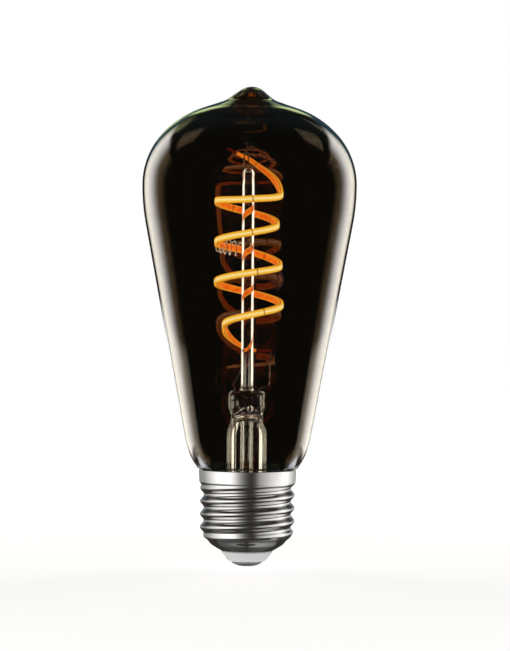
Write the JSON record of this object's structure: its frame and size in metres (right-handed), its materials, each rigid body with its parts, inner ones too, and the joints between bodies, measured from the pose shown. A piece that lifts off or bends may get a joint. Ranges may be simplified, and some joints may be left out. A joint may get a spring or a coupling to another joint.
{
  "type": "smart light bulb",
  "caption": "Smart LED filament bulb: smoked teardrop glass with a drawn tip, spiral filament on a clear glass stem, and a nickelled screw cap.",
  "frame": {"origin": "middle of the centre contact's flat bottom face, the lowest point of the bulb", "axes": "+Z along the bulb's axis from the centre contact to the glass tip, -Y to the front, +X to the right seen from the front"},
  "size_m": [0.06, 0.06, 0.134],
  "materials": {
    "smoked_glass": "blown, polished, smoke grey coat",
    "clear_glass": "clear, fire polished",
    "phosphor_silicone": "glowing yellow phosphor silicone",
    "phosphor_silicone_back": "glowing orange phosphor silicone",
    "flex_strip": "flexible printed strip",
    "tab_metal": "heat-tinted metal tab",
    "wire_metal": "drawn wire",
    "copper": "drawn copper-clad wire",
    "insulated_wire": "PVC sleeve",
    "nickel_sheet": "bright nickel plate",
    "white_plastic": "moulded, satin",
    "cement": "cast cap cement",
    "board": "solder resist on glass epoxy",
    "capacitor_sleeve": "shrink sleeve",
    "black_plastic": "moulded epoxy and ferrite",
    "ceramic_body": "fired ceramic",
    "tinned_steel": "tinned sheet"
  },
  "bodies": {
    "root": {"board_link": "black_plastic", "bottom_tab_pin": "wire_metal", "bridge_rectifier": "black_plastic", "cap_cement": "cement", "cap_insulator": "white_plastic", "centre_contact": "nickel_sheet", "clock_crystal": "tinned_steel", "driver_board": "board", "driver_chip": "black_plastic", "electrolytic_capacitor": "capacitor_sleeve", "exhaust_tube": "clear_glass", "filament_bottom_tab": "tab_metal", "filament_inner_coat": "phosphor_silicone_back", "filament_outer_coat": "phosphor_silicone", "filament_strip": "flex_strip", "filament_top_tab": "tab_metal", "filter_inductor": "black_plastic", "fusible_resistor": "ceramic_body", "glass_bulb": "smoked_glass", "glass_stem": "clear_glass", "insulating_liner": "white_plastic", "left_inner_lead": "wire_metal", "left_outer_lead": "copper", "left_seal_wire": "copper", "live_wire": "insulated_wire", "neutral_wire": "copper", "radio_antenna": "ceramic_body", "radio_board": "board", "radio_shield": "tinned_steel", "right_inner_lead": "wire_metal", "right_outer_lead": "copper", "right_seal_wire": "copper", "screw_cap": "nickel_sheet", "support_coil": "wire_metal", "support_rod": "clear_glass"}
  },
  "joints": []
}
